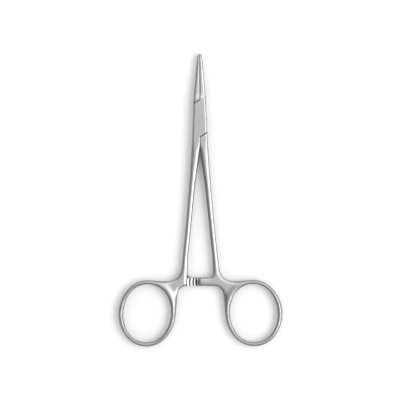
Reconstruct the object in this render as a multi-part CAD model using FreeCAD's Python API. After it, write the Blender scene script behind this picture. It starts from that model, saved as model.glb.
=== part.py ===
import FreeCAD, Part

import math
import os

# Mosquito hemostat: straight artery forceps with a box lock, a ratchet and two finger rings.
# It lies flat. +Y runs from the lock to the jaw tips, +X to the right, +Z up.
# The origin is on the lock pin's axis, in the plane that the box lock rests on. Millimetres.

# Overall reach, measured from the lock pin's axis
tip_reach = 27.6
handle_reach = 97.4

# Box lock: two cheeks of the female half with the male half's tenon between them
box_thickness = 4.2
cheek_thickness = 1.3
box_top = 7.95
box_bottom = 9.0
box_shoulder_drop = 1.6
box_half_width_top = 2.6
box_half_width_bottom = 3.3
box_edge_round = 0.9
box_inner_round = 0.3
face_grind = 0.1
tenon_half_width = 1.9

# Lock pin, peened into countersunk cheeks and ground flush
pin_radius = 1.0
pin_head_radius = 1.35
pin_head_depth = 0.45

# Jaws
jaw_root_half_width = 2.45
jaw_tip_half_width = 1.0
jaw_root_thickness = 3.5
jaw_tip_thickness = 1.7
jaw_root_blend = 2.6
jaw_nose_length = 0.95
jaw_root_roundness = 0.35
jaw_roundness = 0.85
jaw_inner_round = 0.1
parting_overlap = 0.8
serration_pitch = 0.55
serration_depth = 0.22
serration_root_land = 1.2
serration_tip_land = 0.6

# Shanks
crotch_drop = 13.0
shank_crotch_thickness = 4.1
shank_width_fade = 4
shank_stations = 3
shank_foot_width = 2.3
shank_foot_half_spread = 7.4
shank_inward_bow = 0.3
shank_corner_fade = 6
forging_thickness = 3.0
forging_round = 0.9
underside_bevel = 0.55

# Finger rings
ring_side_from_axis = 10.6
ring_opening_width = 20.5
ring_opening_height = 25.0
ring_bar_side = 1.95
ring_bar_end = 1.65
ring_end_tightening = 0.85
ring_inner_bevel = 0.5
ring_lean = 5.0

# Yokes, where each shank spreads into its ring
yoke_height = 11.1
yoke_outer_reach = 5.4
yoke_top_dip = 0.5
foot_bend_reach = 1.5
foot_overlap = 2.0

# Ratchet
ratchet_root_from_axis = 5.7
ratchet_bar_height = 3.5
ratchet_bar_reach = 6.6
ratchet_bar_end_round = 1.1
ratchet_root_fillet = 2.2
ratchet_edge_bevel = 0.45
ratchet_below_ring_top = 2.45
ratchet_tooth_pitch = 1.47
ratchet_tooth_depth = 0.5
ratchet_step_run = 0.35
ratchet_tooth_count = 4
ratchet_first_tooth = 1.4
ratchet_tooth_arc = 5.0

# Motion and fits
opening_angle = 45.0
opening_relief = 1.5
pin_running_clearance = 0.03
tenon_face_clearance = 0.05
tenon_side_clearance = 0.06
shoulder_gap = 0.1
parting_gap = 0.08
ratchet_crest_clearance = 0.04

# Places worked out from the sizes above
mid_height = box_thickness / 2
jaw_root_y = box_top + jaw_root_blend
nose_y = tip_reach - jaw_nose_length
ring_end_radius = ring_opening_width / 2 - ring_end_tightening
ring_half_width = ring_opening_width / 2 + ring_bar_side
ring_half_height = ring_opening_height / 2 + ring_bar_end
ring_centre = FreeCAD.Vector(ring_side_from_axis + ring_half_width, ring_half_height - handle_reach, 0)
ring_top_y = ring_centre.y + ring_half_height
shank_foot_reach = -ring_top_y - yoke_height
ratchet_low_y = ring_top_y - ratchet_below_ring_top
forging_low = mid_height - forging_thickness / 2
forging_top = mid_height + forging_thickness / 2
beyond = 2 * handle_reach

# Length that counts as nothing when edges are compared
tiny = 1e-4

# Share of a quarter ellipse's sides at which its control points stand
quarter_share = 0.5523

# Turns from a nose's foot towards its tip at which its sections stand, in degrees
nose_turns = (0, 40, 75)

# Turn that the cutter of a tooth sweeps, in degrees
tooth_sweep = 90


def vec(x, y, z=0.0):
    return FreeCAD.Vector(x, y, z)


def line(start, end):
    return Part.LineSegment(start, end).toShape()


def bezier(*poles):
    curve = Part.BezierCurve()
    curve.setPoles(list(poles))
    return curve.toShape()


def quarter(start, corner, end):
    """A quarter of a circle or an ellipse from start to end, whose tangents meet at corner."""
    if abs((corner - start).Length - (corner - end).Length) < tiny:
        return tangent_arc(start, corner, end)
    near_start = start + (corner - start) * quarter_share
    near_end = end + (corner - end) * quarter_share
    return bezier(start, near_start, near_end, end)


def tangent_arc(start, corner, end):
    """The circular arc from start to end whose tangents meet at corner, equally far from both."""
    middle = (start + end) / 2
    inward = middle - corner
    half_chord = (end - start).Length / 2
    tangent = (corner - start).Length
    radius = half_chord * tangent / inward.Length
    sagitta = math.hypot(radius, tangent) - radius
    return Part.Arc(start, corner + inward / inward.Length * sagitta, end).toShape()


def rounded_path(start, turns, end):
    """Straight runs from start to end, with an arc round each corner on the way.
    A turn is a corner and the length that its arc takes from the runs beside it."""
    edges = []
    place = start
    aims = [corner for corner, reach in turns[1:]] + [end]
    for (corner, reach), aim in zip(turns, aims):
        before = corner + (place - corner).normalize() * reach
        after = corner + (aim - corner).normalize() * reach
        if (before - place).Length > tiny:
            edges.append(line(place, before))
        edges.append(tangent_arc(before, corner, after))
        place = after
    if (end - place).Length > tiny:
        edges.append(line(place, end))
    return edges


def oval(centre, sideways, upward, half_width, half_height, end_radius):
    """Arcs of an oval drawn from four centres, clockwise from its top end.
    Its near side, on the left, is in two arcs, so that the first four end at the side's middle."""
    rise = half_height - end_radius
    side_radius = (rise ** 2 + half_width ** 2 - end_radius ** 2) / (2 * (half_width - end_radius))
    offset = side_radius - half_width
    end_turn = math.atan2(offset, rise)
    half, full = math.pi, 2 * math.pi
    top, bottom = centre + upward * rise, centre - upward * rise
    far, near = centre - sideways * offset, centre + sideways * offset
    spans = [
        (top, end_radius, 0, end_turn),
        (far, side_radius, end_turn, half - end_turn),
        (bottom, end_radius, half - end_turn, half + end_turn),
        (near, side_radius, half + end_turn, 1.5 * half),
        (near, side_radius, 1.5 * half, full - end_turn),
        (top, end_radius, full - end_turn, full),
    ]
    arcs = []
    for middle, radius, first, last in spans:
        turns = (first, (first + last) / 2, last)
        reach = [(upward * math.cos(turn) + sideways * math.sin(turn)) * radius for turn in turns]
        arcs.append(Part.Arc(*[middle + step for step in reach]).toShape())
    return arcs


def plate(edges, low, high):
    """A flat solid with the given outline, between two heights."""
    face = Part.Face(Part.Wire(edges))
    face.translate(vec(0, 0, low))
    return face.extrude(vec(0, 0, high - low))


def straight_loft(sections):
    """A solid through the sections, with straight lines between them."""
    return Part.makeLoft(sections, True, True)


def polygon_plate(points, low, high):
    corners = [vec(x, y) for x, y in points]
    return plate([line(a, b) for a, b in zip(corners, corners[1:] + corners[:1])], low, high)


def full_height(points):
    return polygon_plate(points, -box_thickness, 2 * box_thickness)


def half_turn(points):
    """The same points, turned by half a turn round the lock pin."""
    return [(-x, -y) for x, y in points]


def mirrored(shape):
    """The same shape on the other side of the instrument's middle plane."""
    return shape.mirror(vec(0, 0, 0), vec(1, 0, 0))


def turned_over(shape):
    """The same shape turned over, half a turn round the long axis at mid height."""
    copy = shape.copy()
    copy.rotate(vec(0, 0, mid_height), vec(0, 1, 0), 180)
    return copy


# Limb: one jaw, half of the box and one shank, drawn for the right side

def limb_section(y, inner, outer, thickness, corner_width, corner_height, inner_round):
    """Outline across a limb: a slab with elliptical outer corners and small inner ones."""
    top = mid_height + thickness / 2
    low = mid_height - thickness / 2

    def at(x, z):
        return vec(x, y, z)

    return Part.Wire([
        line(at(inner + inner_round, top), at(outer - corner_width, top)),
        quarter(at(outer - corner_width, top), at(outer, top), at(outer, top - corner_height)),
        line(at(outer, top - corner_height), at(outer, low + corner_height)),
        quarter(at(outer, low + corner_height), at(outer, low), at(outer - corner_width, low)),
        line(at(outer - corner_width, low), at(inner + inner_round, low)),
        quarter(at(inner + inner_round, low), at(inner, low), at(inner, low + inner_round)),
        line(at(inner, low + inner_round), at(inner, top - inner_round)),
        quarter(at(inner, top - inner_round), at(inner, top), at(inner + inner_round, top)),
    ])


def jaw_section(y, along, scale=1.0):
    """Half-round section of a jaw: along is 0 at its root and 1 where the nose starts."""
    half = scale * (jaw_root_half_width + along * (jaw_tip_half_width - jaw_root_half_width))
    thickness = scale * (jaw_root_thickness + along * (jaw_tip_thickness - jaw_root_thickness))
    roundness = jaw_root_roundness + (jaw_roundness - jaw_root_roundness) * along
    return limb_section(y, -parting_overlap * scale, half, thickness,
                        roundness * half, roundness * thickness / 2, jaw_inner_round * scale)


def box_section(y):
    """Box half, a little thicker than its ground size."""
    along = (box_top - y) / (box_top + box_bottom)
    half = box_half_width_top + along * (box_half_width_bottom - box_half_width_top)
    edge = box_edge_round + face_grind
    unground = box_thickness + 2 * face_grind
    return limb_section(y, -parting_overlap, half, unground, edge, edge, box_inner_round)


def shank_outer(y):
    """Outer edge of the shank: a straight line with a slight inward bow."""
    along = (-y - box_bottom) / (shank_foot_reach - box_bottom)
    straight = box_half_width_bottom + along * (shank_foot_half_spread - box_half_width_bottom)
    return straight - 4 * shank_inward_bow * along * (1 - along)


def shank_section(y):
    """Section that eases from the full box at the crotch to the slim, rounded foot."""
    left = (y + shank_foot_reach) / (shank_foot_reach - crotch_drop)
    crotch_width = shank_outer(-crotch_drop)
    width = shank_foot_width + (crotch_width - shank_foot_width) * left ** shank_width_fade
    thickness = forging_thickness + (shank_crotch_thickness - forging_thickness) * left ** 2
    rounding = forging_round - (forging_round - box_edge_round) * left ** shank_corner_fade
    outer = shank_outer(y)
    return limb_section(y, outer - width, outer, thickness, rounding, rounding, rounding)


def upper_limb():
    """Upper half of the box, and the jaw, which tapers evenly from its root."""
    return straight_loft([box_section(0.0), box_section(box_top),
                          jaw_section(jaw_root_y, 0.0), jaw_section(nose_y, 1.0)])


def shank_heading():
    """Direction of the shank at its foot, pointing towards the ring."""
    step = 0.01
    foot = -shank_foot_reach
    return vec(shank_outer(foot - step) - shank_outer(foot), -step).normalize()


def foot_section():
    """Square end of the shank's foot, across its own direction."""
    heading = shank_heading()
    section = limb_section(0.0, -shank_foot_width, 0.0, forging_thickness,
                           forging_round, forging_round, forging_round)
    section.rotate(vec(0, 0), vec(0, 0, 1), math.degrees(math.atan2(heading.x, -heading.y)))
    section.translate(vec(shank_outer(-shank_foot_reach), -shank_foot_reach))
    return section


def lower_limb():
    """Lower half of the box, down to the crotch between the shanks."""
    return straight_loft([box_section(0.0), box_section(-box_bottom), shank_section(-crotch_drop)])


def shank():
    """Shank from the crotch to its foot."""
    length = shank_foot_reach - crotch_drop
    sections = []
    for station in range(shank_stations):
        sections.append(shank_section(-crotch_drop - length * station / shank_stations))
    sections.append(foot_section())
    return straight_loft(sections)


def ground(shape):
    """The same shape with both faces of the box ground flat."""
    return shape.common(Part.makeBox(2 * beyond, 2 * beyond, box_thickness, vec(-beyond, -beyond, 0)))


def nose():
    """Rounded end of a jaw, half of an ellipsoid."""
    sections = []
    for degrees in nose_turns:
        turn = math.radians(degrees)
        sections.append(jaw_section(nose_y + jaw_nose_length * math.sin(turn), 1.0, math.cos(turn)))
    return straight_loft(sections)


# Handle: the foot of the shank, its yoke and its finger ring

def handle_outline(outer_foot, inner_foot, heading, stub):
    """Outline of yoke and ring, from the stub's outer corner round the ring and back to it."""
    lean = math.radians(ring_lean)
    upward = vec(-math.sin(lean), math.cos(lean))
    sideways = vec(math.cos(lean), math.sin(lean))
    ring_top = ring_centre + upward * ring_half_height
    ring_side = ring_centre - sideways * ring_half_width
    inner_end = vec(ratchet_root_from_axis, ratchet_low_y)
    outer_corner = outer_foot + heading * ((ring_top.y - yoke_top_dip - outer_foot.y) / heading.y)
    dip = vec(ring_top.x - yoke_top_dip / math.tan(lean), outer_corner.y)
    dip_reach = ((dip - outer_corner).Length - yoke_outer_reach) / 2
    inner_corner = ring_side + upward * ((inner_end.y - ring_side.y) / upward.y)
    inner_reach = (inner_end - inner_corner).Length
    foot_bend = inner_foot + heading * foot_bend_reach
    edges = rounded_path(outer_foot + stub, [(outer_corner, yoke_outer_reach), (dip, dip_reach)], ring_top)
    edges += oval(ring_centre, sideways, upward, ring_half_width, ring_half_height,
                  ring_end_radius + ring_bar_end)[:4]
    edges += rounded_path(ring_side, [(inner_corner, inner_reach)], inner_end)
    edges += rounded_path(inner_end, [(foot_bend, foot_bend_reach)], inner_foot + stub)
    edges.append(line(inner_foot + stub, outer_foot + stub))
    opening = oval(ring_centre, sideways, upward, ring_opening_width / 2, ring_opening_height / 2,
                   ring_end_radius)
    return edges, opening


def handle():
    """Yoke and ring as one flat forging, rounded above and bevelled below, cut square at the foot."""
    heading = shank_heading()
    stub = heading * -foot_overlap
    outer_foot = vec(shank_outer(-shank_foot_reach), -shank_foot_reach)
    inner_foot = outer_foot + heading.cross(vec(0, 0, 1)) * shank_foot_width
    edges, opening = handle_outline(outer_foot, inner_foot, heading, stub)
    blank = plate(edges, forging_low, forging_top)

    def rims(solid, height):
        end = outer_foot + stub
        return [edge for edge in level_edges(solid, height)
                if abs(heading.dot(edge.CenterOfMass - end)) > tiny]

    rounded = blank.makeFillet(forging_round, rims(blank, forging_top))
    bevelled = rounded.makeChamfer(underside_bevel, rims(rounded, forging_low))
    hole = plate(opening, -box_thickness, 2 * box_thickness)
    pierced = bevelled.cut([hole, above_foot(outer_foot, heading)])
    around = hole.BoundBox
    around.enlarge(tiny)
    inner_rims = [edge for edge in level_edges(pierced, forging_low) + level_edges(pierced, forging_top)
                  if around.isInside(edge.BoundBox)]
    return pierced.makeChamfer(ring_inner_bevel, inner_rims)


def level_edges(solid, height):
    """Edges of a solid that lie in the level plane at a height."""
    return [edge for edge in solid.Edges
            if edge.BoundBox.ZLength < tiny and abs(edge.CenterOfMass.z - height) < tiny]


def above_foot(foot, heading):
    """Block that stands on the foot's square end, on the shank's side of it."""
    along = heading * (2 * foot_overlap)
    across = heading.cross(vec(0, 0, 1)) * (2 * shank_foot_width)
    corners = [foot - across, foot + across, foot + across - along, foot - across - along]
    return full_height([(corner.x, corner.y) for corner in corners])


# Ratchet bar, drawn for the right side: upper half of the thickness, teeth on its underside

def ratchet_bar():
    low = mid_height + ratchet_crest_clearance
    root = ratchet_root_from_axis
    tip = root - ratchet_bar_reach
    bottom = ratchet_low_y
    top = bottom + ratchet_bar_height
    end = ratchet_bar_end_round
    fillet = ratchet_root_fillet
    anchor = root + shank_foot_width / 2
    edges = [
        line(vec(anchor, bottom), vec(tip + end, bottom)),
        quarter(vec(tip + end, bottom), vec(tip, bottom), vec(tip, bottom + end)),
        line(vec(tip, bottom + end), vec(tip, top - end)),
        quarter(vec(tip, top - end), vec(tip, top), vec(tip + end, top)),
        line(vec(tip + end, top), vec(root - fillet, top)),
        quarter(vec(root - fillet, top), vec(root, top), vec(root, top + fillet)),
        line(vec(root, top + fillet), vec(anchor, top + fillet)),
        line(vec(anchor, top + fillet), vec(anchor, bottom)),
    ]
    bar = plate(edges, low, forging_top)
    rims = [edge for edge in level_edges(bar, forging_top) if edge.BoundBox.XMin < root - tiny]
    bar = bar.makeChamfer(ratchet_edge_bevel, rims)
    for tooth in range(ratchet_tooth_count):
        bar = bar.cut(tooth_space(root - ratchet_first_tooth - tooth * ratchet_tooth_pitch, low))
    return bar


def tooth_space(step_x, crest):
    """Space between two teeth: a conical ramp that ends at a steep step, curved in plan."""
    middle = ratchet_low_y + ratchet_bar_height / 2
    below = crest - ratchet_tooth_depth
    corners = [
        vec(step_x + ratchet_tooth_pitch, middle, crest),
        vec(step_x + ratchet_step_run, middle, crest + ratchet_tooth_depth),
        vec(step_x, middle, crest),
        vec(step_x, middle, below),
        vec(step_x + ratchet_tooth_pitch, middle, below),
    ]
    profile = Part.Face(Part.makePolygon(corners + corners[:1]))
    centre = vec(step_x - ratchet_tooth_arc, middle)
    profile.rotate(centre, vec(0, 0, 1), -tooth_sweep / 2)
    return profile.revolve(centre, vec(0, 0, 1), tooth_sweep)


# Cutters for the lock, seen from above

def shoulder(x, shift):
    """Height of the upper left shoulder line, shifted towards the jaw."""
    slope = box_shoulder_drop / box_half_width_top
    return box_top + shift + x * slope


def jaw_parting(x_shift):
    """Serrated line between the jaws, from the box to beyond the tips."""
    start = box_top + serration_root_land
    count = int((tip_reach - serration_tip_land - start) / serration_pitch)
    points = [(x_shift, start)]
    for tooth in range(count):
        base = start + tooth * serration_pitch
        points.append((x_shift - serration_depth / 2, base + serration_pitch / 4))
        points.append((x_shift + serration_depth / 2, base + serration_pitch * 3 / 4))
    points.append((x_shift, start + count * serration_pitch))
    points.append((x_shift, beyond))
    return points


def slot_angle():
    """Angle at which the slot's wall passes the corner of the jaw's root."""
    root_x = parting_gap / 2
    root_y = box_top - shoulder_gap / 2
    reach = math.hypot(root_x, root_y)
    return math.atan2(root_y, root_x) - math.acos((tenon_half_width + tenon_side_clearance) / reach)


def wall_point(distance, angle, x):
    """Point at x on the line that stands off the pin by distance, square to angle."""
    return (x, (distance - x * math.cos(angle)) / math.sin(angle))


def lower_shank_region(x_limit, shift):
    """Region below the lower right shoulder line and right of x_limit."""
    points = [(-beyond, shoulder(-beyond, shift)), (-x_limit, shoulder(-x_limit, shift)),
              (-x_limit, beyond), (-beyond, beyond)]
    return half_turn(points)


def trimmed(pieces, region):
    """What the pieces of a limb leave inside a region seen from above."""
    return [piece.common(full_height(region)) for piece in pieces]


def female_half(limb, handle_piece, bar):
    """Right jaw, both cheeks of the box, left shank and left ring."""
    gap = parting_gap / 2
    drop = box_top - shoulder_gap / 2
    jaw, lower_box, long_shank, jaw_nose = limb
    left_keep = [(-beyond, shoulder(-beyond, -shoulder_gap / 2)), (0, drop), (0, -drop),
                 (-gap, -drop), (-gap, -beyond), (-beyond, -beyond)]
    right_keep = [(beyond, -shoulder(-beyond, -shoulder_gap / 2)), (0, -drop), (0, drop),
                  (gap, drop)] + jaw_parting(gap) + [(beyond, beyond)]
    pieces = trimmed([mirrored(jaw), mirrored(lower_box), mirrored(long_shank)], left_keep)
    pieces = pieces + trimmed([jaw, lower_box, jaw_nose], right_keep)
    box_and_limbs = ground(pieces[0].fuse(pieces[1:]))
    half = box_and_limbs.fuse([mirrored(handle_piece), bar])
    return half.cut(slot()).cut(pin_hole_in_cheeks()).removeSplitter()


def slot():
    """Space that the tenon sweeps between the cheeks, from closed to fully open."""
    distance = tenon_half_width + tenon_side_clearance
    sweep = math.radians(opening_angle + opening_relief)
    closed = math.pi + slot_angle()
    corner_reach = distance / math.cos(sweep / 2)
    corner_angle = closed + sweep / 2
    corner = (corner_reach * math.cos(corner_angle), corner_reach * math.sin(corner_angle))
    wide = 4 * box_half_width_bottom
    root = (-parting_gap / 2, shoulder_gap / 2 - box_top)
    side = [wall_point(distance, closed + sweep, -wide), corner, root,
            (wide, -shoulder(-wide, -shoulder_gap / 2) - wide)]
    return polygon_plate(side + half_turn(side), cheek_thickness, box_thickness - cheek_thickness)


def tenon_strip():
    """Outline of the thin waist of the male half, with the height that it has in the slot."""
    angle = slot_angle()
    reach = box_top + serration_root_land
    gap = parting_gap / 2
    upper = wall_point(tenon_half_width, angle, -gap)
    lower_x = (tenon_half_width + reach * math.sin(angle)) / math.cos(angle)
    side = [(-gap, reach), upper, (lower_x, -reach)]
    low = cheek_thickness + tenon_face_clearance
    return polygon_plate(side + half_turn(side), low, box_thickness - low)


def male_half(limb, handle_piece, bar):
    """Left jaw, tenon through the box, right shank and right ring."""
    gap = parting_gap / 2
    jaw, lower_box, long_shank, jaw_nose = limb
    corner = (-gap, shoulder(-gap, shoulder_gap / 2))
    left_keep = [(-beyond, shoulder(-beyond, shoulder_gap / 2)), corner]
    left_keep = left_keep + jaw_parting(-gap) + [(-beyond, beyond)]
    right_keep = lower_shank_region(gap, shoulder_gap / 2)
    pieces = trimmed([mirrored(jaw), mirrored(jaw_nose)], left_keep)
    pieces = pieces + trimmed([lower_box, long_shank], right_keep)
    left_side = [(0, -beyond), (0, beyond), (-beyond, beyond), (-beyond, -beyond)]
    right_side = [(-x, y) for x, y in left_side]
    strip = tenon_strip()
    left_pieces = trimmed([mirrored(jaw), mirrored(lower_box)], left_side)
    for piece in left_pieces + trimmed([jaw, lower_box], right_side):
        pieces.append(piece.common(strip))
    half = ground(pieces[0].fuse(pieces[1:]))
    bore = Part.makeCylinder(pin_radius + pin_running_clearance, 2 * box_thickness)
    return half.fuse([handle_piece, bar]).cut(bore).removeSplitter()


def pin_profile(spare):
    """Half section of the lock pin: a plain shank with a conical head at each end."""
    points = [
        vec(0, 0, -spare), vec(pin_head_radius, 0, -spare), vec(pin_head_radius, 0, 0),
        vec(pin_radius, 0, pin_head_depth), vec(pin_radius, 0, box_thickness - pin_head_depth),
        vec(pin_head_radius, 0, box_thickness), vec(pin_head_radius, 0, box_thickness + spare),
        vec(0, 0, box_thickness + spare),
    ]
    if spare == 0:
        points = points[:2] + points[3:6] + points[7:]
    return Part.Face(Part.makePolygon(points + points[:1]))


def lock_pin():
    return pin_profile(0).revolve(vec(0, 0, 0), vec(0, 0, 1), 360)


def pin_hole_in_cheeks():
    return pin_profile(1.0).revolve(vec(0, 0, 0), vec(0, 0, 1), 360)


def main():
    handle_piece = handle()
    limb = [upper_limb(), lower_limb(), shank(), nose()]
    bar = ratchet_bar()
    nodes = {
        "female_half": female_half(limb, handle_piece, turned_over(bar)),
        "male_half": male_half(limb, handle_piece, bar),
        "lock_pin": lock_pin(),
    }
    os.makedirs("parts", exist_ok=True)
    for name, shape in nodes.items():
        print(name, "valid", shape.isValid(), "solids", len(shape.Solids), "faces", len(shape.Faces),
              "volume", round(shape.Volume, 1))
        shape.exportStep("parts/" + name + ".step")


main()
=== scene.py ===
# %% [markdown]
# # Mosquito hemostat: dressing a CAD frame in Blender
#
# The instrument is a pair of forceps in satin stainless steel: two crossed halves on a hidden
# pin, with toothed jaws, slim shanks, a ratchet and two finger rings. Its solids come ready made
# from the CAD model, with exact shapes and exact surface normals. What is left for Blender is
# what a polisher and a photographer do: the finish of the steel, the ground it lies on, the light
# and the camera.

# %% Load the CAD frame
import bmesh
import bpy
import math
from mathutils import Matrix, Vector


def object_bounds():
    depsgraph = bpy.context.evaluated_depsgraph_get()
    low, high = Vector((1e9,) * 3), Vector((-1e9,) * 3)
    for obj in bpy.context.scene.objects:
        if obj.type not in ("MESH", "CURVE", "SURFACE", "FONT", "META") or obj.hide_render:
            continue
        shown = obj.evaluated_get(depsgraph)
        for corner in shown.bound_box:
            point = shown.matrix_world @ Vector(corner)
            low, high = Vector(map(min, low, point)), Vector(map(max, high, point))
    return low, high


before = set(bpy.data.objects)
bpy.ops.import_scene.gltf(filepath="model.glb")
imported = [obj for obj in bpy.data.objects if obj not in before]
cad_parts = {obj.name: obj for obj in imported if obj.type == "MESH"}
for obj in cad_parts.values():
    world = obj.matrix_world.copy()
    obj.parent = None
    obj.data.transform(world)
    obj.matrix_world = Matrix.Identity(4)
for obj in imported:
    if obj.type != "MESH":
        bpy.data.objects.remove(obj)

millimetre = 0.001
cad_low, cad_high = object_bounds()
cad_size = [round((high - low) / millimetre, 2) for low, high in zip(cad_low, cad_high)]
print("nodes:", sorted(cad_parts))
print("CAD size in mm:", cad_size)

# %% [markdown]
# ## Landmarks
#
# The frame stands on the lock pin's axis: +Y runs to the jaw tips, +Z up through the box lock.
# Some finishes belong to one stretch of the instrument only, so the ends of the box are named
# here once, with the slope of its shoulder lines. The rest is read from the frame.

# %% Landmarks on the instrument
box_top_y = 7.95 * millimetre
box_bottom_y = -9.0 * millimetre
shoulder_slope = 1.6 / 2.6
mid_height = (cad_low[2] + cad_high[2]) / 2
instrument_centre = Vector((0.0, (cad_low[1] + cad_high[1]) / 2, mid_height))
print("jaw length in mm:", round((cad_high[1] - box_top_y) / millimetre, 2))
print("mid height in mm:", round(mid_height / millimetre, 2))

# %% [markdown]
# ## Small helpers for node trees
#
# Every finish below is a network of shader nodes. These helpers keep the networks readable. One
# adds a node with its plain values set, one wires sockets by name, and two add the nodes that are
# used most: Math, and Map Range, which turns one range of values into another.

# %% Helpers for nodes
def add_node(tree, kind, label, **values):
    """A node of the given kind, with properties or input values set by name."""
    node = tree.nodes.new(kind)
    node.label = label
    node.name = label
    for name, value in values.items():
        if hasattr(node, name):
            setattr(node, name, value)
        else:
            node.inputs[name.replace("_", " ").title()].default_value = value
    return node


def wire(tree, source, output, target, socket):
    """A link from an output to an input, each named or numbered."""
    tree.links.new(source.outputs[output], target.inputs[socket])


def math_node(tree, operation, label, first, second=None):
    """A Math node. first and second are numbers or pairs of a node and its output."""
    node = add_node(tree, "ShaderNodeMath", label, operation=operation)
    for index, value in enumerate((first, second)):
        if isinstance(value, tuple):
            wire(tree, *value, node, index)
        elif value is not None:
            node.inputs[index].default_value = value
    return node


def range_node(tree, label, source, output, **limits):
    """A Map Range node. Its limits are 0 and 1 unless they are given by name."""
    node = add_node(tree, "ShaderNodeMapRange", label, **limits)
    wire(tree, source, output, node, "Value")
    return node


print("helpers for nodes ready")

# %% [markdown]
# ## Helpers for groups and places
#
# A finish that several materials share is a node group with named sockets, built once. Most
# finishes also need to know where on the piece they are. Object coordinates give that in metres
# and move with the piece, so a pattern stays on its half when the instrument opens.

# %% Helpers for groups
number = "NodeSocketFloat"
direction = "NodeSocketVector"
smooth = {"interpolation_type": "SMOOTHSTEP"}


def new_group(name, inputs, outputs):
    """An empty node group. An input is a name, a kind and a value; an output, a name and a kind."""
    group = bpy.data.node_groups.new(name, "ShaderNodeTree")
    for socket_name, kind, value in inputs:
        socket = group.interface.new_socket(socket_name, in_out="INPUT", socket_type=kind)
        if value is not None:
            socket.default_value = value
    for socket_name, kind in outputs:
        group.interface.new_socket(socket_name, in_out="OUTPUT", socket_type=kind)
    return group, group.nodes.new("NodeGroupInput"), group.nodes.new("NodeGroupOutput")


def group_node(tree, group, label):
    """A node that places a finished group in a tree."""
    return add_node(tree, "ShaderNodeGroup", label, node_tree=group)


def object_place(tree):
    """The node whose Object output is the place on the piece."""
    return add_node(tree, "ShaderNodeTexCoord", "place")


def object_axes(tree):
    """A node with the X, Y and Z of the place on the piece."""
    axes = add_node(tree, "ShaderNodeSeparateXYZ", "axes")
    wire(tree, object_place(tree), "Object", axes, "Vector")
    return axes


def length_node(tree, label, source, output):
    """A node whose Value is the length of a vector."""
    node = add_node(tree, "ShaderNodeVectorMath", label, operation="LENGTH")
    wire(tree, source, output, node, 0)
    return node


print("helpers for groups ready")

# %% [markdown]
# ## Satin grain
#
# The steel is first blasted with fine glass beads and then brushed lightly along its length.
# Close up this leaves two marks: a fine even pitting, and faint hair lines that follow the
# instrument. Both are far too small to model. A photograph of brushed steel could show them, but
# noise has no seams and stays sharp from near, so they are a height and a tone made from noise.
# The hair lines are noise that is stretched along Y. A group holds them, because every steel
# piece shares them.

# %% Node group: satin grain
pit_size = 0.08 * millimetre
line_width = 0.07 * millimetre
line_length = 4.0 * millimetre


def build_satin_grain():
    group, source, target = new_group(
        "satin_grain",
        [("Pit Size", number, pit_size), ("Line Width", number, line_width),
         ("Line Length", number, line_length), ("Line Share", number, 0.5)],
        [("Tone", number), ("Height", number)])
    axes = object_axes(group)
    width, length = (source, "Line Width"), (source, "Line Length")
    across = math_node(group, "DIVIDE", "x over line width", (axes, "X"), width)
    along = math_node(group, "DIVIDE", "y over line length", (axes, "Y"), length)
    upward = math_node(group, "DIVIDE", "z over line width", (axes, "Z"), width)
    stretched = add_node(group, "ShaderNodeCombineXYZ", "stretched place")
    for socket, part in zip("XYZ", (across, along, upward)):
        wire(group, part, 0, stretched, socket)
    lines = add_node(
        group, "ShaderNodeTexNoise", "hair lines", scale=1.0, detail=3.0, roughness=0.6)
    wire(group, stretched, 0, lines, "Vector")
    fineness = math_node(group, "DIVIDE", "pits a metre", 1.0, (source, "Pit Size"))
    pits = add_node(group, "ShaderNodeTexNoise", "bead pits", detail=2.0, roughness=0.55)
    wire(group, object_place(group), "Object", pits, "Vector")
    wire(group, fineness, 0, pits, "Scale")
    blend = add_node(group, "ShaderNodeMix", "pits and lines")
    wire(group, source, "Line Share", blend, "Factor")
    wire(group, pits, "Fac", blend, "A")
    wire(group, lines, "Fac", blend, "B")
    wire(group, blend, "Result", target, "Height")
    wire(group, blend, "Result", target, "Tone")
    return group


satin_grain = build_satin_grain()
print("group:", satin_grain.name)

# %% [markdown]
# ## Edge polish
#
# Hands and the polishing wheel wear the satin off the edges first, so that they shine a little
# more than the faces. The wear could be painted on edge by edge, but the Bevel node finds every
# edge by itself: it gives the normal that an edge would have if it were rounded. Where that
# differs from the true normal there is an edge, and the difference is the mask.

# %% Node group: edge polish
edge_reach = 0.25 * millimetre
edge_gain = 6.0


def build_edge_polish():
    group, source, target = new_group(
        "edge_polish",
        [("Reach", number, edge_reach), ("Gain", number, edge_gain)],
        [("Mask", number)])
    rounded = add_node(group, "ShaderNodeBevel", "rounded normal")
    wire(group, source, "Reach", rounded, "Radius")
    surface = add_node(group, "ShaderNodeNewGeometry", "surface")
    likeness = add_node(group, "ShaderNodeVectorMath", "likeness", operation="DOT_PRODUCT")
    wire(group, rounded, "Normal", likeness, 0)
    wire(group, surface, "Normal", likeness, 1)
    gap = math_node(group, "SUBTRACT", "difference", 1.0, (likeness, "Value"))
    mask = math_node(group, "MULTIPLY", "mask", (gap, 0), (source, "Gain"))
    mask.use_clamp = True
    wire(group, mask, 0, target, "Mask")
    return group


edge_polish = build_edge_polish()
print("group:", edge_polish.name)

# %% [markdown]
# ## Handling marks
#
# A used instrument has been wiped, washed and sterilised many times. That leaves soft cloudy
# patches where the steel is a shade duller, about a centimetre across. They change only the
# roughness and the tone by a few percent, so they are read as life in the reflection and not as
# dirt. Noise suits them, as their shape means nothing and only their size and softness count.

# %% Node group: handling marks
patch_size = 9.0 * millimetre
patch_starts = 0.35
patch_full = 0.68


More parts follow.
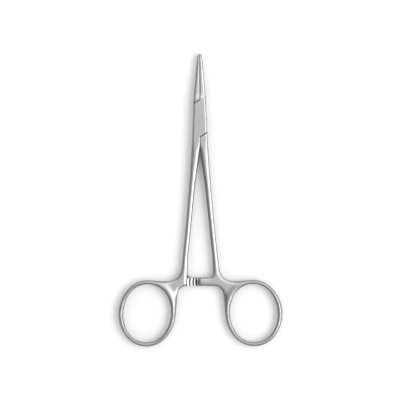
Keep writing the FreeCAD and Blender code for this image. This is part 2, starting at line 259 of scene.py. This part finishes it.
def build_handling_marks():
    group, source, target = new_group(
        "handling_marks", [("Patch Size", number, patch_size)], [("Mask", number)])
    rate = math_node(group, "DIVIDE", "patches a metre", 1.0, (source, "Patch Size"))
    clouds = add_node(
        group, "ShaderNodeTexNoise", "clouds", detail=4.0, roughness=0.6, distortion=0.4)
    wire(group, object_place(group), "Object", clouds, "Vector")
    wire(group, rate, 0, clouds, "Scale")
    spread = range_node(
        group, "spread", clouds, "Fac", from_min=patch_starts, from_max=patch_full, **smooth)
    wire(group, spread, "Result", target, "Mask")
    return group


handling_marks = build_handling_marks()
print("group:", handling_marks.name)

# %% [markdown]
# ## The toothed part of the ratchet
#
# Three finishes treat the ratchet's teeth apart from the rest, so one group says where they are:
# 1 in the box that holds the teeth of the left bar, 0 elsewhere. A second material on those faces
# would do too, but the CAD mesh isn't to be cut up. Each of the four limits is a comparison, and
# all four hold where their product is 1.

# %% Node group: toothed part
bar_width = 3.6 * millimetre
ratchet_low_y = -71.85 * millimetre
ratchet_high_y = ratchet_low_y + bar_width
ratchet_left_x = -5.75 * millimetre
ratchet_right_x = -1.45 * millimetre


def build_toothed_part():
    group, source, target = new_group("toothed_part", [], [("Mask", number)])
    axes = object_axes(group)
    x, y = (axes, "X"), (axes, "Y")
    above = math_node(group, "GREATER_THAN", "above the low edge", y, ratchet_low_y)
    below = math_node(group, "LESS_THAN", "below the high edge", y, ratchet_high_y)
    right = math_node(group, "GREATER_THAN", "right of the root", x, ratchet_left_x)
    left = math_node(group, "LESS_THAN", "left of the end", x, ratchet_right_x)
    band = math_node(group, "MULTIPLY", "between the long edges", (above, 0), (below, 0))
    reach = math_node(group, "MULTIPLY", "between root and end", (right, 0), (left, 0))
    mask = math_node(group, "MULTIPLY", "inside", (band, 0), (reach, 0))
    wire(group, mask, 0, target, "Mask")
    return group


toothed_part = build_toothed_part()
print("group:", toothed_part.name)

# %% [markdown]
# ## Forged crown
#
# Below the box lock the forging is nowhere quite flat: its broad faces swell softly from rim to
# rim, as the die left them. The CAD model keeps those faces flat between rounded rims. Wider
# fillets in the CAD would take too many faces. The Bevel node gives the normal of a much wider
# rounding instead, so that the faces shade as crowned without any change to the shape. The jaws
# take a little under half of that reach and the ground box lock about a quarter. The ratchet's
# teeth keep their own normals, and so does the plate round the pin, where no rim is to show.

# %% Node group: forged crown
crown_reach = 2.2 * millimetre
crown_samples = 12
box_share = 0.28
jaw_share = 0.45
handle_fade = 6.0 * millimetre
jaw_fade = 2.0 * millimetre
pin_clear_radius = 1.75 * millimetre


def build_share_by_stretch(group, axes):
    """Which share of the crown's reach each stretch of the instrument takes."""
    handle = range_node(
        group, "handle", axes, "Y", from_min=box_bottom_y, from_max=box_bottom_y - handle_fade,
        to_min=box_share, **smooth)
    jaws = range_node(
        group, "jaws", axes, "Y", from_min=box_top_y, from_max=box_top_y + jaw_fade,
        to_max=jaw_share, **smooth)
    return math_node(
        group, "MAXIMUM", "share by stretch", (handle, "Result"), (jaws, "Result"))


def build_forged_crown():
    group, source, target = new_group(
        "forged_crown", [("Reach", number, crown_reach)], [("Normal", direction)])
    axes = object_axes(group)
    larger = build_share_by_stretch(group, axes)
    level = add_node(group, "ShaderNodeCombineXYZ", "place in the plane")
    wire(group, axes, "X", level, "X")
    wire(group, axes, "Y", level, "Y")
    from_pin = length_node(group, "distance from the pin", level, 0)
    clear = math_node(
        group, "GREATER_THAN", "clear of the pin", (from_pin, "Value"), pin_clear_radius)
    teeth = group_node(group, toothed_part, "toothed part")
    plain = math_node(group, "SUBTRACT", "away from the teeth", 1.0, (teeth, "Mask"))
    kept = math_node(group, "MULTIPLY", "clear of both", (clear, 0), (plain, 0))
    share = math_node(group, "MULTIPLY", "share", (larger, 0), (kept, 0))
    reach = math_node(group, "MULTIPLY", "reach here", (source, "Reach"), (share, 0))
    crown = add_node(group, "ShaderNodeBevel", "crowned normal", samples=crown_samples)
    wire(group, reach, 0, crown, "Radius")
    wire(group, crown, "Normal", target, "Normal")
    return group


forged_crown = build_forged_crown()
print("group:", forged_crown.name)

# %% [markdown]
# ## Flanks
#
# A polisher brushes the broad faces of a forging and leaves its flanks as the bead blasting left
# them, a little rougher. The flanks are also given a darker grey, which is painted shade that
# gives steep sides a dark outline. How far a surface is a flank follows from the crown's normal:
# its Z part is near 1 on the broad faces and near 0 on the flanks. The mask rises smoothly
# between them. The true normal would do as well, but the crown's carries the painted shade a
# little way over the rounded rims, where the eye sees the outline. The halves turn about Z only,
# so the mask is the same in every pose.

# %% Node group: flanks
flank_starts = 0.86
flank_full = 0.5


def build_flanks():
    group, source, target = new_group(
        "flanks",
        [("Normal", direction, None), ("Starts At", number, flank_starts),
         ("Full At", number, flank_full)],
        [("Mask", number)])
    parts = add_node(group, "ShaderNodeSeparateXYZ", "parts of the normal")
    wire(group, source, "Normal", parts, "Vector")
    upright = math_node(group, "ABSOLUTE", "how level the surface lies", (parts, "Z"))
    mask = range_node(group, "flank mask", upright, 0, **smooth)
    wire(group, source, "Starts At", mask, "From Min")
    wire(group, source, "Full At", mask, "From Max")
    wire(group, mask, "Result", target, "Mask")
    return group


flanks = build_flanks()
print("group:", flanks.name)

# %% [markdown]
# ## Ring ridge
#
# Each finger ring is forged as a rounded bar that runs on through the yoke as a low ridge, and
# the shank's foot meets it in a shallow valley. The CAD model keeps the yoke flat there. The
# ridge is a height of about half a millimetre, so a Bump node can carry it, where displacement
# would need a far finer mesh. It falls off smoothly with the distance to the ring's oval middle
# line, which is a circle once X and Y are divided by its radii.

# %% Node group: ring ridge
ring_centre_x = 22.8 * millimetre
ring_centre_y = -83.25 * millimetre
ring_radius_x = 11.2 * millimetre
ring_radius_y = 13.3 * millimetre
ridge_reach = 3.5 * millimetre
ridge_height = 0.58 * millimetre


def build_ring_ridge():
    group, source, target = new_group(
        "ring_ridge", [("Reach", number, ridge_reach)], [("Height", number)])
    axes = object_axes(group)
    side = math_node(group, "ABSOLUTE", "either ring", (axes, "X"))
    across = math_node(group, "SUBTRACT", "x from the centre", (side, 0), ring_centre_x)
    along = math_node(group, "SUBTRACT", "y from the centre", (axes, "Y"), ring_centre_y)
    round_x = math_node(group, "DIVIDE", "x over its radius", (across, 0), ring_radius_x)
    round_y = math_node(group, "DIVIDE", "y over its radius", (along, 0), ring_radius_y)
    circle = add_node(group, "ShaderNodeCombineXYZ", "oval made round")
    wire(group, round_x, 0, circle, "X")
    wire(group, round_y, 0, circle, "Y")
    radius = length_node(group, "radius", circle, 0)
    outside = math_node(group, "SUBTRACT", "radius past the line", (radius, "Value"), 1.0)
    mean_radius = (ring_radius_x + ring_radius_y) / 2
    metres = math_node(group, "MULTIPLY", "past it in metres", (outside, 0), mean_radius)
    distance = math_node(group, "ABSOLUTE", "distance from the line", (metres, 0))
    ridge = range_node(group, "ridge", distance, 0, from_max=0.0, **smooth)
    wire(group, source, "Reach", ridge, "From Min")
    wire(group, ridge, "Result", target, "Height")
    return group


ring_ridge = build_ring_ridge()
print("group:", ring_ridge.name)

# %% [markdown]
# ## Ratchet notches
#
# Each tooth ends in a short steep side. The notch at its foot is given a dark curved line between
# two bright teeth, which is painted shade at the foot of the step. The notches are real in the
# mesh, and this only darkens them. The teeth are cut as arcs about a centre on their right, one
# pitch apart. Each line could be drawn on its own, but one formula serves them all: taking the
# arc's bow off X makes the lines straight, and a ping-pong of that gives the distance to the
# nearest one.

# %% Node group: ratchet notches
tooth_pitch = 1.47 * millimetre
tooth_arc = 5.0 * millimetre
first_notch_x = -4.6 * millimetre
bar_middle_y = ratchet_low_y + 1.75 * millimetre
notch_half_width = 0.48 * millimetre
notch_core = 0.3 * millimetre


# the mask says where painted shade darkens the foot of each tooth
def build_ratchet_notches():
    group, source, target = new_group(
        "ratchet_notches", [("Half Width", number, notch_half_width)], [("Mask", number)])
    axes = object_axes(group)
    aside = math_node(group, "SUBTRACT", "off the bar's middle", (axes, "Y"), bar_middle_y)
    square = math_node(group, "MULTIPLY", "its square", (aside, 0), (aside, 0))
    bow = math_node(group, "DIVIDE", "bow of the arc", (square, 0), 2 * tooth_arc)
    straight = math_node(group, "SUBTRACT", "x without the bow", (axes, "X"), (bow, 0))
    shifted = math_node(group, "SUBTRACT", "from the first notch", (straight, 0), first_notch_x)
    nearest = math_node(group, "PINGPONG", "distance to a notch", (shifted, 0), tooth_pitch / 2)
    line = range_node(group, "notch lines", nearest, 0, from_max=notch_core, **smooth)
    wire(group, source, "Half Width", line, "From Min")
    teeth = group_node(group, toothed_part, "toothed part")
    mask = math_node(group, "MULTIPLY", "lines on the teeth", (line, "Result"), (teeth, "Mask"))
    wire(group, mask, 0, target, "Mask")
    return group


ratchet_notches = build_ratchet_notches()
print("group:", ratchet_notches.name)

# %% [markdown]
# ## Seam lines
#
# The two halves meet along three seams: the straight line between the jaws, and the two slanted
# shoulder lines where the box lock swallows the other half. Each shows as a thin dark line, a
# little wider than the gap itself, which is painted shade in the gap between the halves. Ambient
# occlusion could find the gaps too, but gaps so narrow need many samples. The distance from a
# surface point to each seam is worked out with Math nodes instead, and the nearest one gives the
# mask. Both shoulder lines come from one formula, because the lower one is the upper one turned
# by half a turn.

# %% Node group: seam lines
seam_half_width = 0.42 * millimetre
seam_core = 0.12 * millimetre
jaw_seam_fineness = 2.2


def distance_to_shoulder(group, across, along, side):
    """Distance to the upper left shoulder line (side 1) or the lower right one (side -1)."""
    name = "upper shoulder" if side > 0 else "lower shoulder"
    run = math_node(group, "MULTIPLY", name + ", rise of the line", across, shoulder_slope)
    shift = math_node(group, "SUBTRACT", name + ", offset", along, (run, 0))
    off = math_node(group, "SUBTRACT", name + ", from its root", (shift, 0), side * box_top_y)
    straight = math_node(group, "ABSOLUTE", name + ", distance", (off, 0))
    beside = math_node(group, "MULTIPLY", name + ", towards its open side", across, side)
    past = math_node(group, "MAXIMUM", name + ", past its root", (beside, 0), 0.0)
    return math_node(group, "ADD", name + ", distance in all", (straight, 0), (past, 0))


def distance_to_jaw_seam(group, across, along):
    """Distance to the straight line between the jaws, which starts at the top of the box."""
    aside = math_node(group, "ABSOLUTE", "distance from the jaws' seam", across)
    below = math_node(group, "SUBTRACT", "how far below the jaws", box_top_y, along)
    short = math_node(group, "MAXIMUM", "only below", (below, 0), 0.0)
    finer = math_node(
        group, "MULTIPLY", "jaw seam drawn finer", (aside, 0), jaw_seam_fineness)
    return math_node(group, "ADD", "jaw seam, distance in all", (finer, 0), (short, 0))


# the mask says where painted shade lines the seams between the halves
def build_seam_lines():
    group, source, target = new_group(
        "seam_lines", [("Half Width", number, seam_half_width)], [("Mask", number)])
    axes = object_axes(group)
    x, y = (axes, "X"), (axes, "Y")
    jaws = distance_to_jaw_seam(group, x, y)
    upper = distance_to_shoulder(group, x, y, 1)
    lower = distance_to_shoulder(group, x, y, -1)
    nearer = math_node(group, "MINIMUM", "nearer shoulder", (upper, 0), (lower, 0))
    nearest = math_node(group, "MINIMUM", "nearest seam", (nearer, 0), (jaws, 0))
    mask = range_node(group, "seam mask", nearest, 0, from_max=seam_core, **smooth)
    wire(group, source, "Half Width", mask, "From Min")
    wire(group, mask, "Result", target, "Mask")
    return group


seam_lines = build_seam_lines()
print("group:", seam_lines.name)

# %% [markdown]
# ## The finishes in one material
#
# Every steel material starts the same way: each group is placed once, and the flanks take the
# crown's normal. A dictionary keeps them by name, so that the cells below can each wire one side
# of the look: the tone, the roughness and the normal.

# %% Place the groups in a material
steel_groups = {
    "grain": satin_grain,
    "edges": edge_polish,
    "marks": handling_marks,
    "seams": seam_lines,
    "notches": ratchet_notches,
    "crown": forged_crown,
    "flanks": flanks,
    "ridge": ring_ridge,
    "teeth": toothed_part,
}


def place_finishes(tree, line_share):
    """The groups' nodes in a material's tree, by name."""
    parts = {name: group_node(tree, group, name) for name, group in steel_groups.items()}
    parts["grain"].inputs["Line Share"].default_value = line_share
    wire(tree, parts["crown"], "Normal", parts["flanks"], "Normal")
    return parts


print("a steel material holds", len(steel_groups), "groups")

# %% [markdown]
# ## Tone of the steel
#
# One factor multiplies the base colour. It moves by a few percent with the grain and the handling
# marks. Fingers leave the rings a shade duller. The flanks are darker still, which is painted
# shade for their dark outline. The seams and the notches are darkest, which is painted shade in
# the gaps and at the foot of each tooth, and a thin oil film dims the teeth. Each cause is a Map
# Range from its mask to a tone, and the tones are multiplied, as layers on a surface are.

# %% Tone of the steel
grain_contrast = {"from_min": 0.3, "from_max": 0.7, "to_min": 0.9, "to_max": 1.1}
marks_tone = 0.96
# the flanks' tone is painted shade, for the dark outline of steep sides
flank_painted_shade = 0.46
# the darkest tone: painted shade in the seams and notches, and in part the oil film on the teeth
painted_shade_and_oil_tone = 0.16
ring_tone = 0.82
tooth_film = 0.4


def wire_tone(tree, parts, steel, colour):
    """Base Color: the steel's colour times each tone, painted shade among them."""
    def tone(label, source, output, full):
        return range_node(tree, label, source, output, to_min=1.0, to_max=full)

    def product(label, first, second):
        return math_node(tree, "MULTIPLY", label, (first, 0), (second, 0))

    # painted shade in the seams and at the notches, with the oil film on the teeth
    seams, notches = (parts["seams"], "Mask"), (parts["notches"], "Mask")
    lines = math_node(tree, "MAXIMUM", "seams and notches", seams, notches)
    film = math_node(
        tree, "MULTIPLY", "oil film on the teeth", (parts["teeth"], "Mask"), tooth_film)
    oil_and_painted_shade = math_node(tree, "MAXIMUM", "painted shade and oil film", (lines, 0), (film, 0))
    grained = range_node(tree, "tone from grain", parts["grain"], "Tone", **grain_contrast)
    dulled = tone("tone from marks", parts["marks"], "Mask", marks_tone)
    held = tone("tone from fingers", parts["ridge"], "Height", ring_tone)
    # painted shade: steep flanks are made darker so that their outlines read dark
    flank_shade = tone("painted shade on flanks", parts["flanks"], "Mask", flank_painted_shade)
    oiled_and_shaded = tone("tone from painted shade and oil", oil_and_painted_shade, 0, painted_shade_and_oil_tone)
    surface_tone = product("surface tone", grained, product("marks and fingers", dulled, held))
    form_tone = product("form tone", flank_shade, oiled_and_shaded)
    shade = product("shade", surface_tone, form_tone)
    tint = add_node(tree, "ShaderNodeVectorMath", "tint", operation="SCALE")
    tint.inputs[0].default_value = colour
    wire(tree, shade, 0, tint, "Scale")
    wire(tree, tint, 0, steel, "Base Color")


print("darkest tone, in a seam:", painted_shade_and_oil_tone)

# %% [markdown]
# ## Roughness of the steel
#
# The roughness sits near a third. Polished edges are a little smoother. The cloudy patches and
# the blasted flanks are a little rougher, so that a reflection breaks up there.

# %% Roughness of the steel
marks_roughness = 0.06
edge_roughness = -0.08
flank_roughness = 0.08


def wire_roughness(tree, parts, steel, roughness):
    """Roughness: a plain value, and what marks, edges and flanks add to it."""
    rough = range_node(
        tree, "roughness from marks", parts["marks"], "Mask",
        to_min=roughness, to_max=roughness + marks_roughness)
    edges, sides = (parts["edges"], "Mask"), (parts["flanks"], "Mask")
    polished = math_node(tree, "MULTIPLY", "edge polish", edges, edge_roughness)
    coarse = math_node(tree, "MULTIPLY", "flank roughness", sides, flank_roughness)
    change = math_node(tree, "ADD", "edges and flanks", (polished, 0), (coarse, 0))
    total = math_node(tree, "ADD", "roughness", (rough, 0), (change, 0))
    wire(tree, total, 0, steel, "Roughness")


print("roughness moves by", edge_roughness, "to", flank_roughness + marks_roughness)

# %% [markdown]
# ## Normal of the steel
#
# Three normals follow each other, from the widest form to the finest: the crown's, then a Bump
# node for the ridge of the rings, then a Bump node for the grain. Each starts from the one
# before, so none of them is lost.

# %% Normal of the steel
grain_strength = 0.6


def wire_normal(tree, parts, steel, grain_depth):
    """Normal: the crown's, with the ridge on it and the grain on that."""
    ridge = add_node(tree, "ShaderNodeBump", "ridge bump", distance=ridge_height)
    wire(tree, parts["ridge"], "Height", ridge, "Height")
    wire(tree, parts["crown"], "Normal", ridge, "Normal")
    grain = add_node(
        tree, "ShaderNodeBump", "grain bump", strength=grain_strength, distance=grain_depth)
    wire(tree, parts["grain"], "Height", grain, "Height")
    wire(tree, ridge, "Normal", grain, "Normal")
    wire(tree, grain, "Normal", steel, "Normal")


print("ridge height in mm:", round(ridge_height / millimetre, 2))

# %% [markdown]
# ## Satin steel
#
# One function makes the steel of both halves and of the pin. The two halves are forged and
# finished alike, so their values differ only as two pieces from one batch do. The pin's ends are
# ground with the box, so they have less brushing and a duller shine. The frame already gave each
# node its own material slot, and the steel goes into it.

# %% Material: satin steel
def satin_steel(name, colour, roughness, grain_depth, line_share):
    """Stainless steel with a satin finish."""
    material = bpy.data.materials.new(name)
    material.use_nodes = True
    tree = material.node_tree
    steel = tree.nodes["Principled BSDF"]
    steel.inputs["Metallic"].default_value = 1.0
    parts = place_finishes(tree, line_share)
    wire_tone(tree, parts, steel, colour)
    wire_roughness(tree, parts, steel, roughness)
    wire_normal(tree, parts, steel, grain_depth)
    return material


micron = 0.001 * millimetre
finishes = {
    "female_half": satin_steel(
        "satin_steel_female", colour=(0.60, 0.60, 0.605), roughness=0.30,
        grain_depth=4.0 * micron, line_share=0.5),
    "male_half": satin_steel(
        "satin_steel_male", colour=(0.59, 0.59, 0.595), roughness=0.31,
        grain_depth=4.0 * micron, line_share=0.5),
    "lock_pin": satin_steel(
        "ground_pin_steel", colour=(0.56, 0.56, 0.565), roughness=0.34,
        grain_depth=3.0 * micron, line_share=0.2),
}
for node_name, material in finishes.items():
    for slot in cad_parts[node_name].material_slots:
        slot.material = material
    print(node_name, "wears", material.name)

# %% [markdown]
# ## Helpers for the studio
#
# The floor and the cards are flat sheets, and lamps and cards all face the instrument, so two
# helpers serve them all. A third tells what a ray is for: the camera and reflections see the
# studio directly, and the other rays only carry its light.

# %% Helpers for the studio
def flat_sheet(name, width, height, material):
    """An object that is a flat sheet about its own origin, linked to the scene."""
    shape = bmesh.new()
    bmesh.ops.create_grid(shape, x_segments=1, y_segments=1, size=0.5)
    bmesh.ops.scale(shape, vec=(width, height, 1.0), verts=shape.verts)
    mesh = bpy.data.meshes.new(name)
    shape.to_mesh(mesh)
    shape.free()
    mesh.materials.append(material)
    sheet = bpy.data.objects.new(name, mesh)
    bpy.context.scene.collection.objects.link(sheet)
    return sheet


def face_instrument(thing, distance, azimuth, elevation):
    """Places a lamp or a card. Azimuth 0 is on the right, 90 beyond the jaws."""
    turn, rise = math.radians(azimuth), math.radians(elevation)
    level = math.cos(rise)
    way = Vector((math.cos(turn) * level, math.sin(turn) * level, math.sin(rise)))
    thing.location = instrument_centre + way * distance
    thing.rotation_euler = way.to_track_quat("Z", "Y").to_euler()
    print(thing.name, "at", [round(value, 2) for value in thing.location])


def seen_directly(tree):
    """1 for rays of the camera, in reflections and through glass, 0 for the rest."""
    path = add_node(tree, "ShaderNodeLightPath", "path")
    straight, mirrored = (path, "Is Camera Ray"), (path, "Is Glossy Ray")
    glossy = math_node(tree, "MAXIMUM", "camera or glossy", straight, mirrored)
    through = (path, "Is Transmission Ray")
    return math_node(tree, "MAXIMUM", "or through glass", (glossy, 0), through)


print("studio helpers ready")

# %% [markdown]
# ## The ground
#
# The instrument lies on a white sheet of paper. Near it the paper is a plain diffuse surface, so
# it shows the soft shadow, which a share of even white lightens as a reflector would. A curved
# backdrop would hide the horizon from one side only. So the sheet lies flat and fades into even
# white further out, and no edge of it shows from any side.

# %% Floor
floor_half_size = 1.6
paper_white = (0.98, 0.98, 0.98, 1.0)
paper_roughness = 0.9
paper_reach = 0.12
paper_fade = 0.14
shadow_lift = 0.05


def white_ground(name):
    """Diffuse paper near the object that fades into even white."""
    material = bpy.data.materials.new(name)
    material.use_nodes = True
    tree = material.node_tree
    paper = tree.nodes["Principled BSDF"]
    paper.inputs["Base Color"].default_value = paper_white
    paper.inputs["Roughness"].default_value = paper_roughness
    paper.inputs["Specular IOR Level"].default_value = 0.0
    glow = add_node(tree, "ShaderNodeEmission", "even white", strength=1.0)
    distance = length_node(tree, "distance", object_place(tree), "Object")
    fade = range_node(
        tree, "fade", distance, "Value",
        from_min=paper_reach, from_max=paper_reach + paper_fade, **smooth)
    seen = seen_directly(tree)
    lift = math_node(tree, "MULTIPLY", "lift of the shadow", (seen, 0), shadow_lift)
    share = math_node(tree, "MAXIMUM", "share of even white", (lift, 0), (fade, "Result"))
    blend = add_node(tree, "ShaderNodeMixShader", "paper into white")
    wire(tree, share, 0, blend, 0)
    wire(tree, paper, "BSDF", blend, 1)
    wire(tree, glow, 0, blend, 2)
    wire(tree, blend, 0, tree.nodes["Material Output"], "Surface")
    return material


floor = flat_sheet(
    "floor", 2 * floor_half_size, 2 * floor_half_size, white_ground("white_paper"))
floor.location = (0.0, instrument_centre.y, cad_low[2])
print("floor is", 2 * floor_half_size, "m wide")

# %% [markdown]
# ## Light
#
# The photo has one large soft lamp on the right, well above the table: edges that face right are
# bright, edges that face left are dark, and a short soft shadow falls to the left. Several lamps
# would give several shadows, so the world does the rest and lights evenly from all sides. It is
# white to the camera and to reflections, and a little dimmer as light, so that the shadow stays
# readable.

# %% World and lamp
world_light = 0.82
world_seen = 1.0


def build_world():
    """An even white studio all round."""
    world = bpy.data.worlds.new("white_studio")
    bpy.context.scene.world = world
    world.use_nodes = True
    tree = world.node_tree
    sky = tree.nodes["Background"]
    sky.inputs["Color"].default_value = (1.0, 1.0, 1.0, 1.0)
    strength = range_node(
        tree, "strength", seen_directly(tree), 0, to_min=world_light, to_max=world_seen)
    wire(tree, strength, "Result", sky, "Strength")


def soft_lamp(name, radiance, width, height):
    """A rectangular lamp. Its power follows from its radiance, so that its size is free."""
    light = bpy.data.lights.new(name, "AREA")
    light.shape = "RECTANGLE"
    light.size = width
    light.size_y = height
    light.energy = radiance * math.pi * width * height
    lamp = bpy.data.objects.new(name, light)
    bpy.context.scene.collection.objects.link(lamp)
    print(name, "has", round(light.energy, 2), "W")
    return lamp


build_world()
key_lamp = soft_lamp("key_right", radiance=3.1, width=0.7, height=0.54)
face_instrument(key_lamp, distance=0.9, azimuth=-6.0, elevation=50.0)

# %% [markdown]
# ## Cards for the reflections
#
# Steel has no look of its own: it shows what stands round it. A photographer puts dark cards
# beside a polished tool, so that its rounded edges turn dark and its outline shows on a white
# ground. Here dark cards stand on the left and below the rings, and two low ones beyond the jaws
# and on the right. A bright card higher up beyond the jaws gives the upper slopes their
# highlights, and a pale grey one hangs overhead for the broad faces. A darker world would darken
# the edges too, but the paper and the shadow with them. Only reflections see the cards: they
# block no light.

# %% Cards
def card(name, brightness, width, height, **place):
    """A plain card that faces the instrument and shows in reflections only."""
    material = bpy.data.materials.new(name)
    material.use_nodes = True
    tree = material.node_tree
    glow = add_node(tree, "ShaderNodeEmission", "even tone", strength=brightness)
    wire(tree, glow, 0, tree.nodes["Material Output"], "Surface")
    board = flat_sheet(name, width, height, material)
    face_instrument(board, **place)
    board.visible_camera = False
    board.visible_diffuse = False
    board.visible_shadow = False


card("card_left", brightness=0.22, width=1.4, height=0.85,
     distance=0.6, azimuth=180.0, elevation=32.0)
card("card_below", brightness=0.25, width=1.0, height=0.7,
     distance=0.65, azimuth=270.0, elevation=28.0)
card("card_beyond", brightness=1.7, width=0.8, height=0.5,
     distance=0.65, azimuth=78.0, elevation=48.0)
card("card_low_beyond", brightness=0.2, width=1.0, height=0.3,
     distance=0.6, azimuth=90.0, elevation=13.0)
card("card_low_right", brightness=0.12, width=1.0, height=0.34,
     distance=0.6, azimuth=0.0, elevation=15.0)
card("card_overhead", brightness=0.7, width=0.6, height=0.6,
     distance=0.8, azimuth=90.0, elevation=90.0)

# %% [markdown]
# ## Camera
#
# The photo looks straight down from far away, so that nothing shows perspective. A view without
# any perspective would come close too, but a long lens is what a photographer would use. The
# photo is 400 pixels wide and the instrument's scale in it is 0.4275 mm a pixel, which sets the
# distance. The instrument lies a fifth of a degree off the upright, which is the roll.

# %% Camera
photo_pixels = 400
pixel_size = 0.4275 * millimetre
pivot_pixel = (200.1, 118.5)
photo_roll = 0.18
focal_length = 200.0
sensor_width = 36.0
near_clip = 0.01

camera_data = bpy.data.cameras.new("photo_camera")
camera_data.lens = focal_length
camera_data.sensor_width = sensor_width
camera_data.clip_start = near_clip
view_width = photo_pixels * pixel_size
camera_distance = view_width * focal_length / sensor_width
camera = bpy.data.objects.new("photo_camera", camera_data)
camera.location = (
    (photo_pixels / 2 - pivot_pixel[0]) * pixel_size,
    (pivot_pixel[1] - photo_pixels / 2) * pixel_size,
    mid_height + camera_distance)
camera.rotation_euler = (0.0, 0.0, -math.radians(photo_roll))
bpy.context.scene.collection.objects.link(camera)
bpy.context.scene.camera = camera
bpy.context.scene.view_settings.view_transform = "Standard"
print("camera is", round(camera_distance, 3), "m away")

# %% [markdown]
# ## The end
#
# The dressed model has to stay in the CAD model's box.

# %% Done
print("scene ready")
